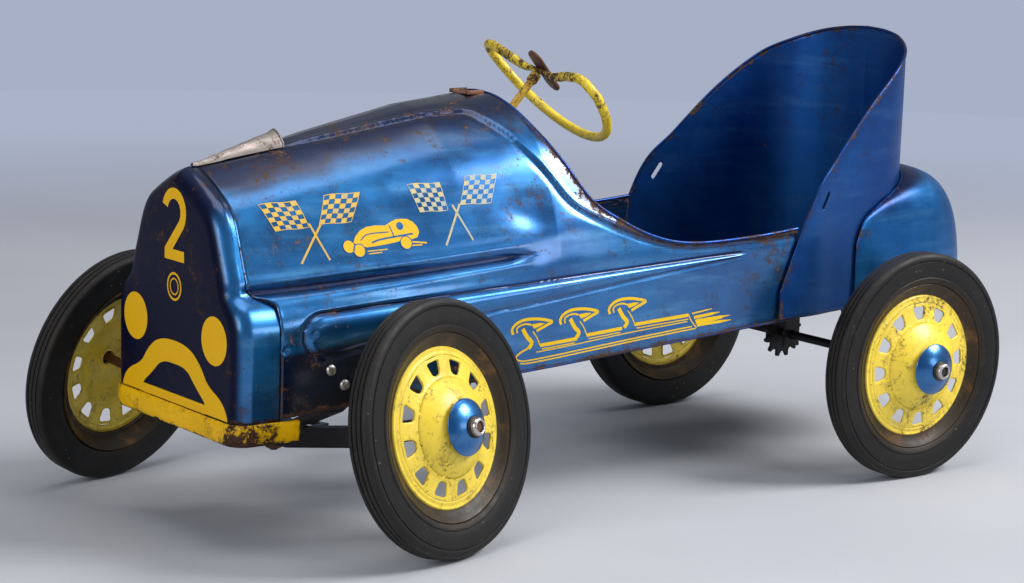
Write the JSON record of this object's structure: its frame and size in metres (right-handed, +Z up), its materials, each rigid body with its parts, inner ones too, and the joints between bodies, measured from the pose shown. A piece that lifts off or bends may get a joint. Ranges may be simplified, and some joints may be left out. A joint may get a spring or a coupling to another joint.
{
  "type": "pedal car",
  "caption": "Chain-drive pedal car of pressed steel in the shape of an early racing car, with a bucket seat, steered beam axle and pressed disc wheels.",
  "frame": {"origin": "on the ground under the middle of the car's bounding box", "axes": "-Y forward, +X the car's left side, +Z up"},
  "size_m": [0.5088, 1.0654, 0.4679],
  "materials": {
    "blue_paint": "metallic blue gloss paint over bare steel, chipped and rusting at edges",
    "navy_paint": "dark navy gloss paint, chipped",
    "yellow_paint": "yellow enamel, chipped and stained",
    "bright_steel": "dulled bright plating with rust spots",
    "rusty_steel": "bare steel gone brown with rust",
    "black_steel": "thin black paint, dull and dirty",
    "tyre_rubber": "dull aged black rubber",
    "pedal_rubber": "dull black moulded rubber"
  },
  "bodies": {
    "body": {"body_shell": "blue_paint", "nose_cap": "navy_paint", "bumper_strip": "yellow_paint", "hood_scoop": "bright_steel", "cowl_bracket": "black_steel", "seat_back": "blue_paint", "tail_deck": "blue_paint", "seat_pan": "black_steel", "chassis_rail_left": "black_steel", "chassis_rail_right": "black_steel", "front_crossmember": "black_steel", "kingpin_bolt": "rusty_steel", "kingpin_nut": "rusty_steel", "body_bolt_1": "bright_steel", "body_bolt_2": "bright_steel", "body_bolt_3": "bright_steel", "body_bolt_4": "bright_steel", "rear_crossbar": "black_steel", "axle_yoke": "black_steel", "axle_hanger_left": "black_steel", "axle_hanger_right": "black_steel", "dash_strap": "black_steel", "column_foot": "black_steel"},
    "front_axle": {"front_beam": "black_steel", "steering_arm": "black_steel", "spindle_bar_front_left": "rusty_steel", "spindle_bar_front_right": "rusty_steel", "axle_nut_front_left": "bright_steel", "axle_nut_front_right": "bright_steel"},
    "wheel_front_left": {"tyre_front_left": "tyre_rubber", "wheel_disc_front_left": "yellow_paint", "hub_cap_front_left": "blue_paint"},
    "wheel_front_right": {"tyre_front_right": "tyre_rubber", "wheel_disc_front_right": "yellow_paint", "hub_cap_front_right": "blue_paint"},
    "rear_axle": {"rear_axle": "black_steel", "rear_sprocket": "black_steel", "tyre_rear_left": "tyre_rubber", "wheel_disc_rear_left": "yellow_paint", "hub_cap_rear_left": "blue_paint", "axle_nut_rear_left": "bright_steel", "axle_nut_rear_right": "bright_steel"},
    "wheel_rear_right": {"tyre_rear_right": "tyre_rubber", "wheel_disc_rear_right": "yellow_paint", "hub_cap_rear_right": "blue_paint"},
    "steering": {"steering_column": "yellow_paint", "steering_wheel": "yellow_paint", "steering_hub_plate": "rusty_steel"},
    "crank": {"crank": "rusty_steel", "chainring": "black_steel", "pedal_cap_left": "rusty_steel", "pedal_cap_right": "rusty_steel"},
    "pedal_left": {"pedal_left": "pedal_rubber"},
    "pedal_right": {"pedal_right": "pedal_rubber"}
  },
  "joints": [
    {"name": "front_axle_steer", "type": "hinge", "parent": "body", "child": "front_axle", "pos_m": [0, -0.353, 0.083], "axis": [0, 0, 1], "range_deg": [-32.4, 0]},
    {"name": "wheel_front_left_spin", "type": "hinge", "parent": "front_axle", "child": "wheel_front_left", "pos_m": [0.20329, -0.29394, 0.1215], "axis": [0.9427, 0.2739, 0.1908], "continuous": true},
    {"name": "wheel_front_right_spin", "type": "hinge", "parent": "front_axle", "child": "wheel_front_right", "pos_m": [-0.20329, -0.41206, 0.1215], "axis": [-0.9427, -0.2739, 0.1908], "continuous": true},
    {"name": "rear_axle_spin", "type": "hinge", "parent": "body", "child": "rear_axle", "pos_m": [0, 0.322, 0.122], "axis": [1, 0, 0], "continuous": true},
    {"name": "wheel_rear_right_spin", "type": "hinge", "parent": "rear_axle", "child": "wheel_rear_right", "pos_m": [-0.208, 0.322, 0.122], "axis": [1, 0, 0], "continuous": true},
    {"name": "steering_column_turn", "type": "hinge", "parent": "body", "child": "steering", "pos_m": [0, -0.038, 0.43], "axis": [0, 0.682, 0.7314], "range_deg": [-48.6, 0]},
    {"name": "crank_spin", "type": "hinge", "parent": "body", "child": "crank", "pos_m": [0, -0.118, 0.15592], "axis": [1, 0, 0], "continuous": true},
    {"name": "pedal_left_spin", "type": "hinge", "parent": "crank", "child": "pedal_left", "pos_m": [0, -0.1893, 0.16594], "axis": [1, 0, 0], "continuous": true},
    {"name": "pedal_right_spin", "type": "hinge", "parent": "crank", "child": "pedal_right", "pos_m": [0, -0.0467, 0.14589], "axis": [1, 0, 0], "continuous": true}
  ],
  "couplings": [
    {"joint": "steering_column_turn", "follows": "front_axle_steer", "ratio": 1.5}
  ]
}
